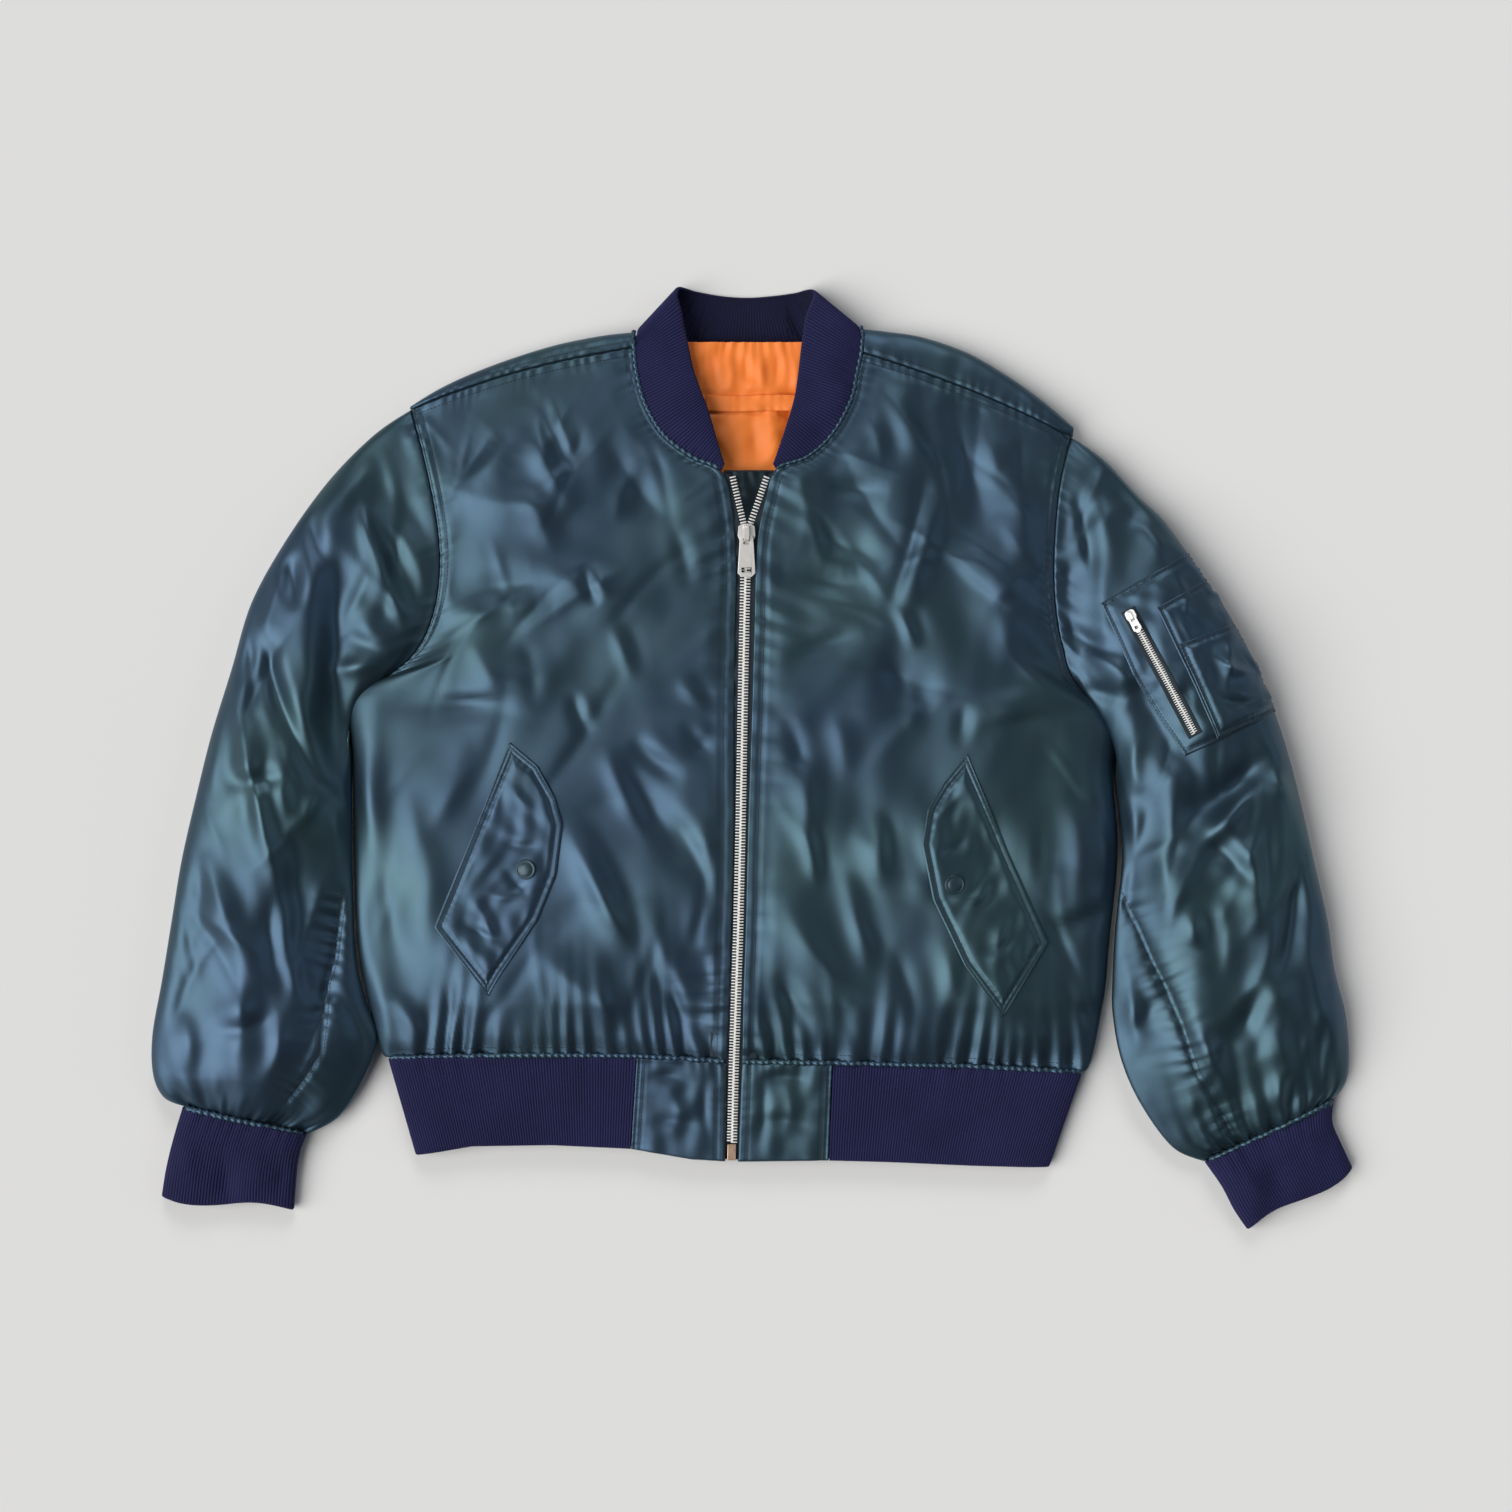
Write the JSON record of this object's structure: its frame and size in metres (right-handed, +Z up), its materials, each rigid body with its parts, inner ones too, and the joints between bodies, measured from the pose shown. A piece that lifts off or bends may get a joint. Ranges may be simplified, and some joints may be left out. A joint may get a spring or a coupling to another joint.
{
  "type": "bomber jacket",
  "caption": "Zipped bomber jacket laid flat on its back, with ribbed collar, cuffs and waist, slanted flap pockets and a zipped sleeve pocket.",
  "frame": {"origin": "middle of the laid-out jacket's footprint, on the surface it lies on", "axes": "+X to the wearer's left, across both sleeves; +Y from the hem to the collar; +Z up, out of the front of the jacket"},
  "size_m": [0.9646, 0.758, 0.0547],
  "materials": {
    "shell": "satin woven nylon, dark blue green",
    "rib": "rib knit, dark navy",
    "lining": "satin woven nylon, orange",
    "dark_cloth": "woven nylon, near black",
    "zip_tape": "woven tape, matt",
    "zip_metal": "bright, lightly worn",
    "snap": "gloss enamel"
  },
  "bodies": {
    "jacket": {"back": "shell", "front_right": "shell", "front_left": "shell", "sleeve_right": "shell", "sleeve_left": "shell", "collar": "rib", "cuff_right": "rib", "cuff_left": "rib", "waist_rib": "rib", "waist_tab_right": "shell", "waist_tab_left": "shell", "lining_back": "lining", "hanger_strip": "lining", "wind_flap": "dark_cloth", "zip_tape_right": "zip_tape", "zip_tape_left": "zip_tape", "zip_teeth_right": "zip_metal", "zip_teeth_left": "zip_metal", "zip_chain": "zip_metal", "zip_stop": "zip_metal", "zip_slider": "zip_metal", "flap_right": "shell", "flap_left": "shell", "snap_right": "snap", "snap_left": "snap", "sleeve_pocket": "shell", "pen_base": "shell", "pen_pocket": "shell", "sleeve_zip_tape": "zip_tape", "sleeve_zip_chain": "zip_metal", "sleeve_zip_slider": "zip_metal"},
    "front_pull": {"zip_pull": "zip_metal"},
    "sleeve_pull": {"sleeve_zip_pull": "zip_metal"}
  },
  "joints": [
    {"name": "front_pull_swing", "type": "hinge", "parent": "jacket", "child": "front_pull", "pos_m": [-0.0059, 0.176, 0.03732], "axis": [-1, 0, 0], "range_deg": [0, 135]},
    {"name": "sleeve_pull_swing", "type": "hinge", "parent": "jacket", "child": "sleeve_pull", "pos_m": [0.29819, 0.11134, 0.05035], "axis": [-0.8663, -0.4591, -0.1968], "range_deg": [0, 135]}
  ]
}
